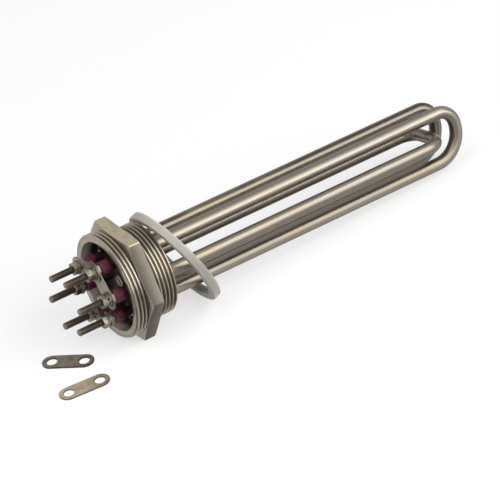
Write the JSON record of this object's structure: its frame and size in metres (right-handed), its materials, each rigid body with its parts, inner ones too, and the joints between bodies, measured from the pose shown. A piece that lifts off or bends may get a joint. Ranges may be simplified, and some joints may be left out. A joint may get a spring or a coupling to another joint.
{
  "type": "u-shaped heating element",
  "caption": "Screw-in immersion heater: hex head threaded on both faces, nested U-shaped sheathed tubes, studs with a star bridge of links, sealing ring and spare links.",
  "frame": {"origin": "centre of the hex face that seals against the tank, on the thread axis", "axes": "+X along the thread axis from the terminals into the tank, +Z square to a flat of the hex that faces down. On a table the hex rests on that flat's lower edge and the lowest tube on its end, so the table lies 3.4 degrees off the XY plane."},
  "size_m": [0.286, 0.0712, 0.0668],
  "materials": {
    "head_steel": "turned and milled stainless steel, warm grey",
    "tube_steel": "polished stainless steel with lengthwise draw lines",
    "stud_steel": "dark threaded steel, paler at the tips",
    "fastener_steel": "plated steel, slightly dull",
    "link_steel": "punched sheet steel",
    "bush_compound": "dark red glazed insulating compound",
    "gasket_rubber": "pale grey translucent silicone rubber",
    "magnesia": "pressed white powder",
    "winding_wire": "bright resistance wire",
    "braze_metal": "silver braze, satin"
  },
  "bodies": {
    "root": {"braze_beads": "braze_metal", "earth_screw": "fastener_steel", "earth_washer": "fastener_steel", "flange_head": "head_steel", "flat_washer_1": "fastener_steel", "flat_washer_2": "fastener_steel", "flat_washer_3": "fastener_steel", "flat_washer_4": "fastener_steel", "flat_washer_5": "fastener_steel", "flat_washer_6": "fastener_steel", "gasket_ring": "gasket_rubber", "inner_nut_1": "fastener_steel", "inner_nut_2": "fastener_steel", "inner_nut_3": "fastener_steel", "inner_nut_4": "fastener_steel", "inner_nut_5": "fastener_steel", "inner_nut_6": "fastener_steel", "insulator_1": "bush_compound", "insulator_2": "bush_compound", "insulator_3": "bush_compound", "insulator_4": "bush_compound", "insulator_5": "bush_compound", "insulator_6": "bush_compound", "jumper_link_a": "link_steel", "jumper_link_b": "link_steel", "loose_link_1": "link_steel", "loose_link_2": "link_steel", "magnesia_fill_1": "magnesia", "magnesia_fill_2": "magnesia", "magnesia_fill_3": "magnesia", "outer_nut_1": "fastener_steel", "outer_nut_2": "fastener_steel", "outer_nut_3": "fastener_steel", "outer_nut_4": "fastener_steel", "outer_nut_5": "fastener_steel", "outer_nut_6": "fastener_steel", "resistance_coil_1": "winding_wire", "resistance_coil_2": "winding_wire", "resistance_coil_3": "winding_wire", "sheath_tube_1": "tube_steel", "sheath_tube_2": "tube_steel", "sheath_tube_3": "tube_steel", "spring_washer_1": "fastener_steel", "spring_washer_2": "fastener_steel", "spring_washer_3": "fastener_steel", "spring_washer_4": "fastener_steel", "spring_washer_5": "fastener_steel", "spring_washer_6": "fastener_steel", "terminal_pin_1": "stud_steel", "terminal_pin_2": "stud_steel", "terminal_pin_3": "stud_steel", "terminal_pin_4": "stud_steel", "terminal_pin_5": "stud_steel", "terminal_pin_6": "stud_steel"}
  },
  "joints": []
}
